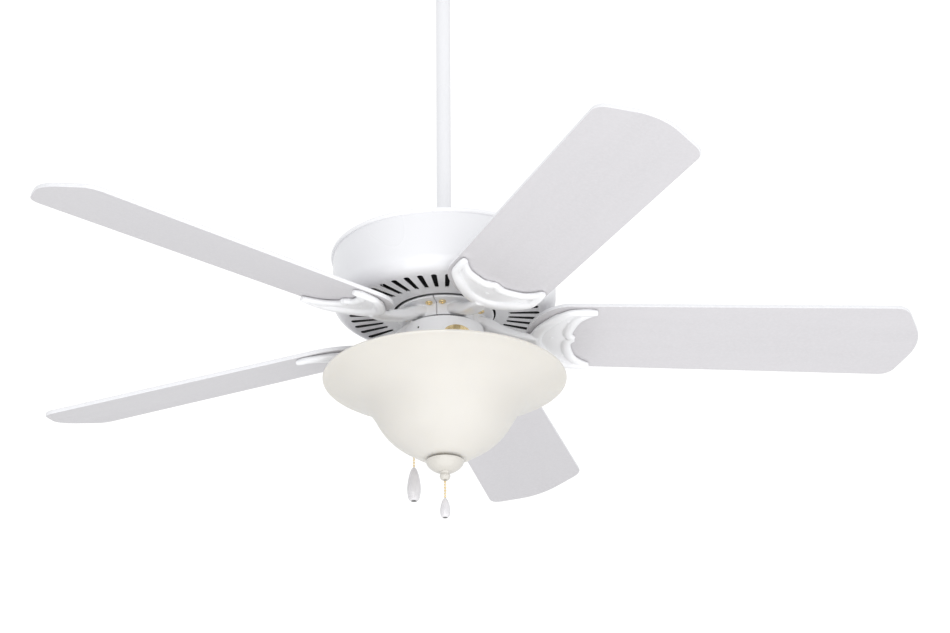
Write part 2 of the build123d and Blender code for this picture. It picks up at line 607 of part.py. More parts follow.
with BuildPart() as blade_iron:
    # foot: a lip under the flywheel and a wall hanging from its inner edge, a fifth of a turn long
    with BuildSketch(plane_at(FOOT_TOP - FOOT_THICK)):
        with BuildLine():
            foot_outside = CenterArc((0, 0), FOOT_OUTER, -35.6, 71.2)
            foot_inside = CenterArc((0, 0), WALL_INNER, -35.6, 71.2)
            Line(foot_outside @ 0, foot_inside @ 0)
            Line(foot_outside @ 1, foot_inside @ 1)
        make_face()
        with Locations(around(IRON_SCREW_CIRCLE, (-IRON_SCREW_SPREAD, IRON_SCREW_SPREAD))):
            Circle(2.2, mode=Mode.SUBTRACT)
    extrude(amount=FOOT_THICK)
    with BuildSketch(plane_at(WALL_LOW)):
        with BuildLine():
            wall_outside = CenterArc((0, 0), WALL_OUTER, -35.6, 71.2)
            wall_inside = CenterArc((0, 0), WALL_INNER, -35.6, 71.2)
            Line(wall_outside @ 0, wall_inside @ 0)
            Line(wall_outside @ 1, wall_inside @ 1)
        make_face()
    extrude(amount=FOOT_TOP - FOOT_THICK - WALL_LOW)
    # arm, falling from the foot's wall to the crescent plate
    for distance, height, width, depth in ARM_STATIONS:
        with BuildSketch(Plane.YZ.offset(distance)):
            with Locations((0, level(height))):
                RectangleRounded(width, depth, 4)
    loft()
    with BuildSketch(plane_at(WALL_LOW - 10)):
        Circle(WALL_INNER)
    extrude(amount=FOOT_TOP - WALL_LOW + 10, mode=Mode.SUBTRACT)
    # crescent plate under the blade, with a raised rim and a brace-shaped edge towards the tip
    with BuildSketch(blade_plane(0)):
        with BuildLine():
            outer_edge = Spline((HORN_TIP - 3, -61), (178, -62.5), (141, -46), (114, 0), (141, 46), (178, 62.5),
                                (HORN_TIP - 3, 61))
            horn_top = ThreePointArc(outer_edge @ 1, (HORN_TIP, 57.5), (HORN_TIP - 3, 54))
            brace_top = Spline(horn_top @ 1, (184, 43), (174, 20), (180, 0), tangents=((-1, -0.4), (1, -0.9)))
            horn_low = ThreePointArc(outer_edge @ 0, (HORN_TIP, -57.5), (HORN_TIP - 3, -54))
            Spline(horn_low @ 1, (184, -43), (174, -20), brace_top @ 1, tangents=((-1, 0.4), (1, 0.9)))
        make_face()
    extrude(amount=-IRON_RIM)
    # recess between the rim and the brace-shaped bead
    with BuildSketch(blade_plane(-IRON_RIM)):
        with BuildLine():
            recess_rim = Spline((165, -46), (146, -32), (134, -12), (137, 0), (134, 12), (146, 32), (165, 46))
            recess_brace = Spline(recess_rim @ 1, (157, 20), (162, 0), tangents=((-1, -0.9), (1, -0.7)))
            Spline(recess_rim @ 0, (157, -20), recess_brace @ 1, tangents=((-1, 0.9), (1, 0.7)))
        make_face()
    extrude(amount=IRON_RIM - PANEL_THICK, mode=Mode.SUBTRACT)
    # threaded bosses for the blade screws
    with BuildSketch(blade_plane(0)):
        with Locations(BLADE_BOLTS):
            Circle(5.5)
    extrude(amount=-6)
    with BuildSketch(blade_plane(0)):
        with Locations(BLADE_BOLTS):
            Circle(2.4)
    extrude(amount=-4.5, mode=Mode.SUBTRACT)
    # the plate's top face stays flat against the blade
    with BuildSketch(blade_plane(0)):
        with Locations((HORN_TIP / 2 + 60, 0)):
            Rectangle(110, 140)
    extrude(amount=20, mode=Mode.SUBTRACT)

for number, azimuth in enumerate(blade_azimuths, start=1):
    turned_blade = blade.part.rotate(Axis.Z, azimuth)
    turned_blade.label = f"blade_{number}"
    export_step(turned_blade, f"parts/blade_{number}.step")
    turned_iron = blade_iron.part.rotate(Axis.Z, azimuth)
    turned_iron.label = f"blade_iron_{number}"
    export_step(turned_iron, f"parts/blade_iron_{number}.step")

with BuildPart() as one_blade_screws:
    with BuildSketch(blade_plane(-4)):
        with Locations(BLADE_BOLTS):
            Circle(2.4)
    extrude(amount=4 + BLADE_THICKNESS)
    with BuildSketch(blade_plane(BLADE_THICKNESS)):
        with Locations(BLADE_BOLTS):
            Circle(7)
    extrude(amount=1)
    with BuildSketch(blade_plane(BLADE_THICKNESS + 1)):
        with Locations(BLADE_BOLTS):
            Circle(4.5)
    extrude(amount=2.4)
with BuildPart() as blade_screws:
    add([one_blade_screws.part.rotate(Axis.Z, azimuth) for azimuth in blade_azimuths])
blade_screws.part.label = "blade_screws"
export_step(blade_screws.part, "parts/blade_screws.step")

with BuildPart() as iron_screws:
    with BuildSketch(plane_at(FOOT_TOP - FOOT_THICK - 2.6)):
        with Locations(around(IRON_SCREW_CIRCLE, iron_screw_azimuths)):
            Circle(4.9)
    extrude(amount=2.6)
    fillet(iron_screws.edges().group_by(Axis.Z)[0], radius=1.6)
    # cross recesses
    with BuildSketch(plane_at(FOOT_TOP - FOOT_THICK - 2.6)):
        with Locations(around(IRON_SCREW_CIRCLE, iron_screw_azimuths)):
            Rectangle(5, 1.2)
            Rectangle(1.2, 5)
    extrude(amount=1.4, mode=Mode.SUBTRACT)
    with BuildSketch(plane_at(FOOT_TOP - FOOT_THICK)):
        with Locations(around(IRON_SCREW_CIRCLE, iron_screw_azimuths)):
            Circle(2.1)
    extrude(amount=FOOT_THICK + 5)
iron_screws.part.label = "iron_screws"
export_step(iron_screws.part, "parts/iron_screws.step")

# ---------------------------------------------------------------- switch housing
SWITCH_TOP = 4.8
SWITCH_BOTTOM = -46.0
SWITCH_PLATE_LOW = 0.5
SWITCH_PLATE_HIGH = 3.0
SKIRT_LOW = -13.0
SWITCH_SCREW_Z = -6.8
SWITCH_SCREW_AZIMUTHS = (-131, -11, 109)
SLIDER_AZIMUTH = 60
SLIDER_Z = -24.0
SLIDER_TRAVEL = 4.0
CHAIN_AZIMUTH = 104.4
GUIDE_Z = -38.0
GUIDE_RADIUS = 3.4
GUIDE_BORE = 2.3
CHAIN_REACH = 173.4
GUIDE_MOUTH = -64.0

with BuildPart() as switch_plate:
    with BuildSketch(plane_at(SWITCH_PLATE_LOW)):
        Circle(SWITCH_RADIUS - SHEET)
        Circle(SHAFT_RADIUS, mode=Mode.SUBTRACT)
        with PolarLocations(34, 3):
            SlotOverall(24, 10, mode=Mode.SUBTRACT)
    extrude(amount=SWITCH_PLATE_HIGH - SWITCH_PLATE_LOW)
    with BuildSketch(plane_at(SKIRT_LOW)):
        Circle(SWITCH_RADIUS - SHEET)
        Circle(SWITCH_RADIUS - SHEET - 2, mode=Mode.SUBTRACT)
    extrude(amount=SWITCH_PLATE_LOW - SKIRT_LOW)
    for azimuth in SWITCH_SCREW_AZIMUTHS:
        with BuildSketch(tilted_axis_plane(azimuth, 45, SWITCH_SCREW_Z, 0)):
            Circle(1.6)
        extrude(amount=12, mode=Mode.SUBTRACT)
switch_plate.part.label = "switch_plate"
export_step(switch_plate.part, "parts/switch_plate.step")

with BuildPart() as shaft_nut:
    with BuildSketch(plane_at(SWITCH_PLATE_LOW - 5)):
        RegularPolygon(13, 6)
        Circle(SHAFT_RADIUS, mode=Mode.SUBTRACT)
    extrude(amount=5)
    chamfer(shaft_nut.edges().group_by(Axis.Z)[0].filter_by(GeomType.LINE), length=0.8)
shaft_nut.part.label = "shaft_nut"
export_step(shaft_nut.part, "parts/shaft_nut.step")

with BuildPart() as switch_housing:
    with BuildSketch(plane_at(SWITCH_BOTTOM)):
        Circle(SWITCH_RADIUS)
    extrude(amount=SWITCH_TOP - SWITCH_BOTTOM)
    fillet(switch_housing.edges().group_by(Axis.Z)[0], radius=3)
    with BuildSketch(plane_at(SWITCH_BOTTOM + SHEET)):
        Circle(SWITCH_RADIUS - SHEET)
    extrude(amount=SWITCH_TOP - SWITCH_BOTTOM, mode=Mode.SUBTRACT)
    with BuildSketch(plane_at(SWITCH_BOTTOM - 1)):
        Circle(12)
    extrude(amount=4, mode=Mode.SUBTRACT)
    for azimuth in SWITCH_SCREW_AZIMUTHS:
        with BuildSketch(tilted_axis_plane(azimuth, 45, SWITCH_SCREW_Z, 0)):
            Circle(1.6)
        extrude(amount=12, mode=Mode.SUBTRACT)
    with BuildSketch(tilted_axis_plane(SLIDER_AZIMUTH, 45, SLIDER_Z, 0)):
        Rectangle(5.2, 8 + 2 * SLIDER_TRAVEL)
    extrude(amount=12, mode=Mode.SUBTRACT)
    with BuildSketch(tilted_axis_plane(CHAIN_AZIMUTH, 45, GUIDE_Z, 0)):
        Circle(GUIDE_RADIUS)
    extrude(amount=12, mode=Mode.SUBTRACT)
switch_housing.part.label = "switch_housing"
export_step(switch_housing.part, "parts/switch_housing.step")

with BuildPart() as switch_housing_screws:
    for azimuth in SWITCH_SCREW_AZIMUTHS:
        with BuildSketch(tilted_axis_plane(azimuth, 47, SWITCH_SCREW_Z, 0)):
            Circle(1.5)
        extrude(amount=SWITCH_RADIUS - 47 - 0.5)
switch_housing_screws.part.label = "switch_housing_screws"
export_step(switch_housing_screws.part, "parts/switch_housing_screws.step")

BADGE_AZIMUTH = -69.0
BADGE_Z = -18.5
BADGE_THICK = 1.0
with BuildPart() as badge:
    with BuildSketch(tilted_axis_plane(BADGE_AZIMUTH, 40, BADGE_Z, 0)):
        Ellipse(19.5, 10.5)
    extrude(amount=SWITCH_RADIUS)
    with BuildSketch(plane_at(-60)):
        Circle(SWITCH_RADIUS + BADGE_THICK)
        Circle(SWITCH_RADIUS, mode=Mode.SUBTRACT)
    extrude(amount=80, mode=Mode.INTERSECT)
badge.part.label = "badge"
export_step(badge.part, "parts/badge.step")

with BuildPart() as capacitor:
    with BuildSketch(plane_at(-36)):
        with Locations((0, -30)):
            RectangleRounded(38, 18, 3)
    extrude(amount=24)
capacitor.part.label = "capacitor"
export_step(capacitor.part, "parts/capacitor.step")

with BuildPart() as speed_switch:
    with BuildSketch(plane_at(-44.2)):
        with Locations(around(32, [CHAIN_AZIMUTH])):
            Circle(12)
    extrude(amount=25)
    # threaded barrel that the guide tube is held in
    with BuildSketch(tilted_axis_plane(CHAIN_AZIMUTH, 40, GUIDE_Z, 0)):
        Circle(5)
    extrude(amount=8)
    with BuildSketch(tilted_axis_plane(CHAIN_AZIMUTH, 40, GUIDE_Z, 0)):
        Circle(GUIDE_BORE)
    extrude(amount=12, mode=Mode.SUBTRACT)
speed_switch.part.label = "speed_switch"
export_step(speed_switch.part, "parts/speed_switch.step")

with BuildPart() as reverse_switch:
    with BuildSketch(tilted_axis_plane(SLIDER_AZIMUTH, 38, SLIDER_Z, 0)):
        Rectangle(12, 24)
    extrude(amount=10)
    with BuildSketch(tilted_axis_plane(SLIDER_AZIMUTH, 48, SLIDER_Z, 0)):
        Rectangle(12, 32)
    extrude(amount=1.5)
reverse_switch.part.label = "reverse_switch"
export_step(reverse_switch.part, "parts/reverse_switch.step")

with BuildPart() as reverse_slider:
    with BuildSketch(tilted_axis_plane(SLIDER_AZIMUTH, 50, SLIDER_Z - SLIDER_TRAVEL / 2, 0)):
        Rectangle(4.4, 7)
    extrude(amount=7)
    chamfer(reverse_slider.faces().sort_by(Axis(origin=(0, 0, 0), direction=(cos(radians(SLIDER_AZIMUTH)),
            sin(radians(SLIDER_AZIMUTH)), 0)))[-1].edges(), length=0.6)
reverse_slider.part.label = "reverse_slider"
export_step(reverse_slider.part, "parts/reverse_slider.step")

GUIDE_BEND = 10.0
along_guide = (cos(radians(CHAIN_AZIMUTH)), sin(radians(CHAIN_AZIMUTH)))
chain_x, chain_y = (CHAIN_REACH * along for along in along_guide)
GUIDE_START = 48.5
with BuildPart() as chain_guide:
    with BuildLine():
        guide_path = FilletPolyline(
            (GUIDE_START * along_guide[0], GUIDE_START * along_guide[1], level(GUIDE_Z)),
            (chain_x, chain_y, level(GUIDE_Z)),
            (chain_x, chain_y, level(GUIDE_MOUTH)), radius=GUIDE_BEND)
    with BuildSketch(Plane(origin=guide_path @ 0, z_dir=guide_path % 0)):
        Circle(GUIDE_RADIUS)
        Circle(GUIDE_BORE, mode=Mode.SUBTRACT)
    sweep()
chain_guide.part.label = "chain_guide"
export_step(chain_guide.part, "parts/chain_guide.step")

# ---------------------------------------------------------------- light
FITTER_LOW = -78.0
FITTER_RADIUS = 36.0
SOCKET_AZIMUTHS = (-30, 90, 210)
SOCKET_Z = -62.0
SOCKET_DROOP = 14.0
SOCKET_START = 32.0
SOCKET_LENGTH = 26.0
STEM_RADIUS = 5.0
STEM_BORE = 3.3
STEM_TOP = -74.0
STEM_BOTTOM = -203.0
BOWL_TOP = -68.0
BOWL_LOW = -183.0
BOWL_HOLE = 6.5

with BuildPart() as light_fitter:
    with BuildSketch(plane_at(SWITCH_BOTTOM - 2.5)):
        Circle(SWITCH_RADIUS - 4)
    extrude(amount=2.5)
    with BuildSketch(plane_at(FITTER_LOW)):
        Circle(FITTER_RADIUS)
    extrude(amount=SWITCH_BOTTOM - 2.5 - FITTER_LOW)
    fillet(light_fitter.edges().group_by(Axis.Z)[0], radius=5)
    with BuildSketch(plane_at(FITTER_LOW + SHEET)):
        Circle(FITTER_RADIUS - SHEET)
    extrude(amount=SWITCH_BOTTOM - SHEET - FITTER_LOW - SHEET, mode=Mode.SUBTRACT)
    with BuildSketch(plane_at(FITTER_LOW - 1)):
        Circle(STEM_RADIUS)
    extrude(amount=60, mode=Mode.SUBTRACT)
    for azimuth in SOCKET_AZIMUTHS:
        with BuildSketch(tilted_axis_plane(azimuth, SOCKET_START, SOCKET_Z, SOCKET_DROOP)):
            Circle(12.1)
        extrude(amount=8, both=True, mode=Mode.SUBTRACT)
light_fitter.part.label = "light_fitter"
export_step(light_fitter.part, "parts/light_fitter.step")


def revolve_plane(azimuth, radius):
    """Sketch plane holding a socket's axis: local Y runs along the axis, local X across it."""
    across = tilted_axis_plane(azimuth, radius, SOCKET_Z, SOCKET_DROOP)
    return Plane(origin=across.origin, x_dir=across.x_dir, z_dir=across.x_dir.cross(across.z_dir))


with BuildPart() as lamp_sockets:
    for azimuth in SOCKET_AZIMUTHS:
        socket_plane = revolve_plane(azimuth, SOCKET_START)
        with BuildSketch(socket_plane):
            with BuildLine():
                Polyline((0, 0), (12, 0), (12, 8), (15, 10), (15, SOCKET_LENGTH), (13, SOCKET_LENGTH), (13, 11),
                         (0, 11), close=True)
            make_face()
        revolve(axis=Axis(socket_plane.origin, socket_plane.y_dir))
lamp_sockets.part.label = "lamp_sockets"
export_step(lamp_sockets.part, "parts/lamp_sockets.step")

BULB_START = 11.5
with BuildPart() as bulbs:
    for azimuth in SOCKET_AZIMUTHS:
        bulb_plane = revolve_plane(azimuth, SOCKET_START)
        with BuildSketch(bulb_plane):
            with BuildLine():
                bulb_base = Polyline((0, BULB_START), (6, BULB_START), (12, BULB_START + 4), (12, BULB_START + 22))
                bulb_glass = Spline(bulb_base @ 1, (15, BULB_START + 32), (19, BULB_START + 46),
                                    (13, BULB_START + 62), (0, BULB_START + 67), tangents=((0, 1), (-1, 0)))
                Line(bulb_glass @ 1, bulb_base @ 0)
            make_face()
        revolve(axis=Axis(bulb_plane.origin, bulb_plane.y_dir))
bulbs.part.label = "bulbs"
export_step(bulbs.part, "parts/bulbs.step")

with BuildPart() as light_switch:
    with BuildSketch(plane_at(-70)):
        Circle(11)
    extrude(amount=16)
    with BuildSketch(plane_at(-72.5)):
        Circle(4)
        Circle(2.3, mode=Mode.SUBTRACT)
    extrude(amount=2.5)
    with BuildSketch(plane_at(-70)):
        Circle(2.3)
    extrude(amount=6, mode=Mode.SUBTRACT)
light_switch.part.label = "light_switch"
export_step(light_switch.part, "parts/light_switch.step")

with BuildPart() as stem:
    with BuildSketch(plane_at(STEM_BOTTOM)):
        Circle(STEM_RADIUS)
    extrude(amount=STEM_TOP - STEM_BOTTOM)
    # collar that rests on the inside of the glass
    with BuildSketch(plane_at(BOWL_LOW + GLASS + 0.4)):
        Circle(10)
    extrude(amount=2.4)
    with BuildSketch(plane_at(STEM_BOTTOM)):
        Circle(STEM_BORE)
    extrude(amount=STEM_TOP - STEM_BOTTOM, mode=Mode.SUBTRACT)
stem.part.label = "stem"
export_step(stem.part, "parts/stem.step")


def bowl_rim_middle(curve):
    """Outermost point of the rounded rim of the glass, half a thickness beyond its edge."""
    edge = curve @ 0
    along = curve % 0
    half = GLASS / 2
    return (edge.X + half * along.Y - half * along.X, edge.Y - half * along.X - half * along.Y)


with BuildPart() as glass_bowl:
    with BuildSketch(Plane.XZ):
        with BuildLine():
            bowl_outside = Spline((BOWL_RADIUS, level(BOWL_TOP)), (138, level(-81)), (113, level(-97)),
                                  (98, level(-115)), (87, level(-134)), (70, level(-154)), (44, level(-172)),
                                  (BOWL_HOLE, level(BOWL_LOW)), tangents=((-1, -0.32), (-1, 0)))
            bowl_inside = Spline(beside(bowl_outside, GLASS, 14))
            Line(bowl_outside @ 1, bowl_inside @ 1)
            ThreePointArc(bowl_outside @ 0, bowl_rim_middle(bowl_outside), bowl_inside @ 0)
        make_face()
    revolve(axis=Axis.Z)
glass_bowl.part.label = "glass_bowl"
export_step(glass_bowl.part, "parts/glass_bowl.step")

with BuildPart() as bowl_gasket:
    with BuildSketch(plane_at(BOWL_LOW - 1.6)):
        Circle(17)
        Circle(STEM_RADIUS + 0.5, mode=Mode.SUBTRACT)
    extrude(amount=1.5)
bowl_gasket.part.label = "bowl_gasket"
export_step(bowl_gasket.part, "parts/bowl_gasket.step")

CAP_RIM = -184.8
CAP_LOW = -200.0
with BuildPart() as finial_cap:
    with BuildSketch(Plane.XZ):
        with BuildLine():
            cap_side = Spline((25.5, level(CAP_RIM)), (23.5, level(-190)), (17, level(-196)), (8, level(CAP_LOW)),
                              tangents=((-0.1, -1), (-1, -0.3)))
            cap_floor = Line(cap_side @ 1, (STEM_RADIUS, level(CAP_LOW)))
            Line(cap_floor @ 1, (STEM_RADIUS, level(CAP_LOW + 1.4)))
            cap_inside = Spline((8, level(CAP_LOW + 1.4)), (16.2, level(-194.8)), (22.2, level(-189.4)),
                                (24.1, level(CAP_RIM)), tangents=((1, 0.3), (0.1, 1)))
            Line((STEM_RADIUS, level(CAP_LOW + 1.4)), cap_inside @ 0)
            Line(cap_inside @ 1, cap_side @ 0)
        make_face()
    revolve(axis=Axis.Z)
finial_cap.part.label = "finial_cap"
export_step(finial_cap.part, "parts/finial_cap.step")

FINIAL_LOW = -211.0
FINIAL_BORE = 2.2
with BuildPart() as finial:
    with BuildSketch(Plane.XZ):
        with BuildLine():
            finial_neck = Polyline((STEM_RADIUS, level(CAP_LOW - 0.1)), (7.5, level(CAP_LOW - 0.1)),
                                   (6.2, level(CAP_LOW - 2.5)))
            finial_bead = Spline(finial_neck @ 1, (7.2, level(-206)), (5.4, level(-210)), (3.6, level(FINIAL_LOW)),
                                 tangents=((0.3, -1), (-1, -0.2)))
            Polyline(finial_bead @ 1, (FINIAL_BORE, level(FINIAL_LOW)), (FINIAL_BORE, level(STEM_BOTTOM)),
                     (STEM_RADIUS, level(STEM_BOTTOM)), finial_neck @ 0)
        make_face()
    revolve(axis=Axis.Z)
finial.part.label = "finial"
export_step(finial.part, "parts/finial.step")


# ---------------------------------------------------------------- pull chains
def bead_centres(top, count):
    """Heights of the beads of a hanging chain, from its top bead down."""
    return [top - number * BEAD_PITCH for number in range(count)]


def bead_chain(x, y, top, count):
    """Hanging bead chain as one solid: beads joined by a thin wire."""
    with BuildPart() as chain:
        for height in bead_centres(top, count):
            with Locations((x, y, level(height))):
                Sphere(BEAD_RADIUS)
        with BuildSketch(plane_at(top - (count - 1) * BEAD_PITCH)):
            with Locations((x, y)):
                Circle(0.5)
        extrude(amount=(count - 1) * BEAD_PITCH)
    return chain.part


def fob(x, y, top, length, radius):
    """Ceramic drop on the end of a pull chain, widest below its middle."""
    with BuildPart() as drop:
        with BuildSketch(Plane.XZ.offset(-y)):
            with BuildLine():
                side = Spline((x + 1.5, level(top)), (x + radius * 0.62, level(top - length * 0.17)),
                              (x + radius * 0.91, level(top - length * 0.43)),
                              (x + radius, level(top - length * 0.68)),
                              (x + radius * 0.85, level(top - length * 0.88)),
                              (x, level(top - length)), tangents=((1, -1), (-1, 0)))
                Polyline(side @ 1, (x, level(top)), side @ 0)
            make_face()
        revolve(axis=Axis((x, y, 0), (0, 0, 1)))
    return drop.part


LIGHT_INNER_TOP = -72.9
LIGHT_INNER_BEADS = 33
LIGHT_BEADS = 6
LIGHT_TOP = LIGHT_INNER_TOP - LIGHT_INNER_BEADS * BEAD_PITCH - 2.2
LIGHT_FOB_TOP = LIGHT_TOP - (LIGHT_BEADS - 1) * BEAD_PITCH - 2.4
FAN_INNER_TOP = GUIDE_MOUTH + 9.9
FAN_INNER_BEADS = 3
FAN_TOP = GUIDE_MOUTH - 2.7
FAN_BEADS = 15
FAN_FOB_TOP = FAN_TOP - (FAN_BEADS - 1) * BEAD_PITCH - 2.4

light_chain_inner = bead_chain(0, 0, LIGHT_INNER_TOP, LIGHT_INNER_BEADS)
light_chain_inner.label = "light_chain_inner"
export_step(light_chain_inner, "parts/light_chain_inner.step")

light_chain = bead_chain(0, 0, LIGHT_TOP, LIGHT_BEADS)
light_chain.label = "light_chain"
export_step(light_chain, "parts/light_chain.step")

light_fob = fob(0, 0, LIGHT_FOB_TOP, 27.5, 6.8)
light_fob.label = "light_fob"
export_step(light_fob, "parts/light_fob.step")

fan_chain_inner = bead_chain(chain_x, chain_y, FAN_INNER_TOP, FAN_INNER_BEADS)
fan_chain_inner.label = "fan_chain_inner"
export_step(fan_chain_inner, "parts/fan_chain_inner.step")

fan_chain = bead_chain(chain_x, chain_y, FAN_TOP, FAN_BEADS)
fan_chain.label = "fan_chain"
export_step(fan_chain, "parts/fan_chain.step")

fan_fob = fob(chain_x, chain_y, FAN_FOB_TOP, 50.0, 9.5)
fan_fob.label = "fan_fob"
export_step(fan_fob, "parts/fan_fob.step")
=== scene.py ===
import json
from math import cos, pi, radians, sin

import bmesh
import bpy
from mathutils import Matrix, Vector


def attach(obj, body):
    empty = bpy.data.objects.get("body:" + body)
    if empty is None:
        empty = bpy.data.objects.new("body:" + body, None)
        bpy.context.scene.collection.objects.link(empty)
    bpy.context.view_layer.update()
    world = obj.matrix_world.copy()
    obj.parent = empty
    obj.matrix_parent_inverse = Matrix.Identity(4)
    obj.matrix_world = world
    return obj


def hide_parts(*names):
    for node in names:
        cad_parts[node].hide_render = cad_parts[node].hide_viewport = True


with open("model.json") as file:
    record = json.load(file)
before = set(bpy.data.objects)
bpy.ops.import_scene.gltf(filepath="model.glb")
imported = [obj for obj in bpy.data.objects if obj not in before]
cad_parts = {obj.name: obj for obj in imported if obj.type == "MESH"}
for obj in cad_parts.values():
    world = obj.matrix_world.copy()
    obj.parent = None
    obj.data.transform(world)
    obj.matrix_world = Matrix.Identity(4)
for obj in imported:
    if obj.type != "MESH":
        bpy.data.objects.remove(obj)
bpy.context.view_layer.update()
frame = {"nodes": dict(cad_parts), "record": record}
nodes = frame["nodes"]

# ---------------------------------------------------------------- sizes shared with the CAD part, in metres
MM = 0.001
BLADE_Z = -0.625
BLADE_PITCH = radians(-14.8)
BLADE_RISE = radians(0.9)
BLADE_AZIMUTHS = [radians(5 + 72 * number) for number in range(5)]


def level(height):
    """Height in the row frame of something measured in mm from the blade plane."""
    return BLADE_Z + height * MM


# ---------------------------------------------------------------- camera
CAMERA_DISTANCE = 4.1155
CAMERA_ELEVATION = radians(23.79)
CAMERA_YAW = radians(0.578)
CAMERA_PITCH = radians(-0.337)
CAMERA_ROLL = radians(0.243)
CAMERA_LENS = 115.03  # mm, on a sensor SENSOR_WIDTH wide
SENSOR_WIDTH = 36.0
CLIP_END = 100.0


def add_camera():
    """The camera looks up at the fan from in front of it and below."""
    sight = Vector((0, cos(CAMERA_ELEVATION), sin(CAMERA_ELEVATION)))
    right = Vector((1, 0, 0))
    up = right.cross(sight)
    level_turn = Matrix((right, up, -sight))
    small_turn = (Matrix.Rotation(CAMERA_ROLL, 3, "Z") @ Matrix.Rotation(CAMERA_PITCH, 3, "X")
                  @ Matrix.Rotation(CAMERA_YAW, 3, "Y"))
    turn = (small_turn @ level_turn).transposed().to_4x4()
    place = -CAMERA_DISTANCE * sight + Vector((0, 0, BLADE_Z))
    camera_data = bpy.data.cameras.new("camera")
    camera_data.sensor_width = SENSOR_WIDTH
    camera_data.lens = CAMERA_LENS
    camera_data.clip_end = CLIP_END
    camera = bpy.data.objects.new("camera", camera_data)
    bpy.context.scene.collection.objects.link(camera)
    camera.matrix_world = Matrix.Translation(place) @ turn
    bpy.context.scene.camera = camera


# ---------------------------------------------------------------- materials
# WHITE is the enamel's own colour, on the housing, rod and blade edges; the two lighter whites below are the
# same enamel made lighter, painted light that brightens the hub pieces the lamps leave in shade
WHITE = (0.83, 0.83, 0.85)
WHITE_PAINTED_LIGHT = (0.93, 0.93, 0.945)
IRON_WHITE_PAINTED_LIGHT = (0.89, 0.89, 0.905)
BLADE_GREY = (0.59, 0.576, 0.592)
CREAM = (0.60, 0.575, 0.53)
GLAZE = (0.68, 0.665, 0.68)
FROSTED_CREAM = (0.655, 0.63, 0.588)
BULB_WHITE = (0.93, 0.92, 0.89)
STEEL = (0.55, 0.56, 0.58)
IRON_GREY = (0.2, 0.2, 0.21)
ALUMINIUM = (0.5, 0.5, 0.51)
COPPER = (0.45, 0.16, 0.06)
BLACK = (0.02, 0.02, 0.022)
PLASTIC_BLACK = (0.018, 0.018, 0.02)
NYLON_WHITE = (0.78, 0.77, 0.74)
PORCELAIN_WHITE = (0.82, 0.8, 0.76)
FELT_WHITE = (0.72, 0.7, 0.66)
FLOOR_WHITE = (0.86, 0.86, 0.86)
BRASS_DULL, BRASS_BRIGHT = (0.78, 0.60, 0.31), (0.90, 0.74, 0.44)
# near-black tones for the painted shade inside the housing, where the vents look in
PAINTED_SHADE_DARK, PAINTED_SHADE_LIGHTER = (0.008, 0.008, 0.009), (0.02, 0.02, 0.022)
CAP_DARK, CAP_WORN = (0.03, 0.028, 0.026), (0.06, 0.055, 0.05)

# cells of orange peel to the metre, and their depth in metres
SPRAYED_PEEL = (420, 0.00003)
CAST_PEEL = (160, 0.00012)

HOUSING_MIDDLE = 75  # mm above the blade plane
FOB_CAPS = {"fan_fob": 0.0004, "light_fob": 0.0003}  # height of each fob's dark end cap
CAP_EDGE = 0.0002

PLAIN_MATERIALS = {
    "zinc_steel": dict(colour=STEEL, roughness=0.34, scale=45, spread=0.1, metallic=1.0),
    "lamination": dict(colour=IRON_GREY, roughness=0.5, scale=40, spread=0.15, metallic=0.9,
                       stretch=(40, 40, 1)),
    "cast_aluminium": dict(colour=ALUMINIUM, roughness=0.46, scale=90, spread=0.08, metallic=1.0,
                           depth=0.00012),
    "copper_wire": dict(colour=COPPER, roughness=0.35, scale=300, spread=0.25, metallic=0.8,
                        depth=0.0002),
    "black_steel": dict(colour=BLACK, roughness=0.45, scale=200, spread=0.3),
    "nylon": dict(colour=NYLON_WHITE, roughness=0.5, scale=70),
    "black_plastic": dict(colour=PLASTIC_BLACK, roughness=0.42, scale=300, spread=0.3),
    "porcelain": dict(colour=PORCELAIN_WHITE, roughness=0.16, scale=50, coat=0.6),
    "felt": dict(colour=FELT_WHITE, roughness=0.9, scale=500, spread=0.08, depth=0.0002),
    # near-black on the rotor's lower shell: painted shade for the dark inside of the housing seen through the
    # vents
    "rotor_painted_shade": dict(colour=BLACK, roughness=0.55, scale=120, spread=0.3),
}


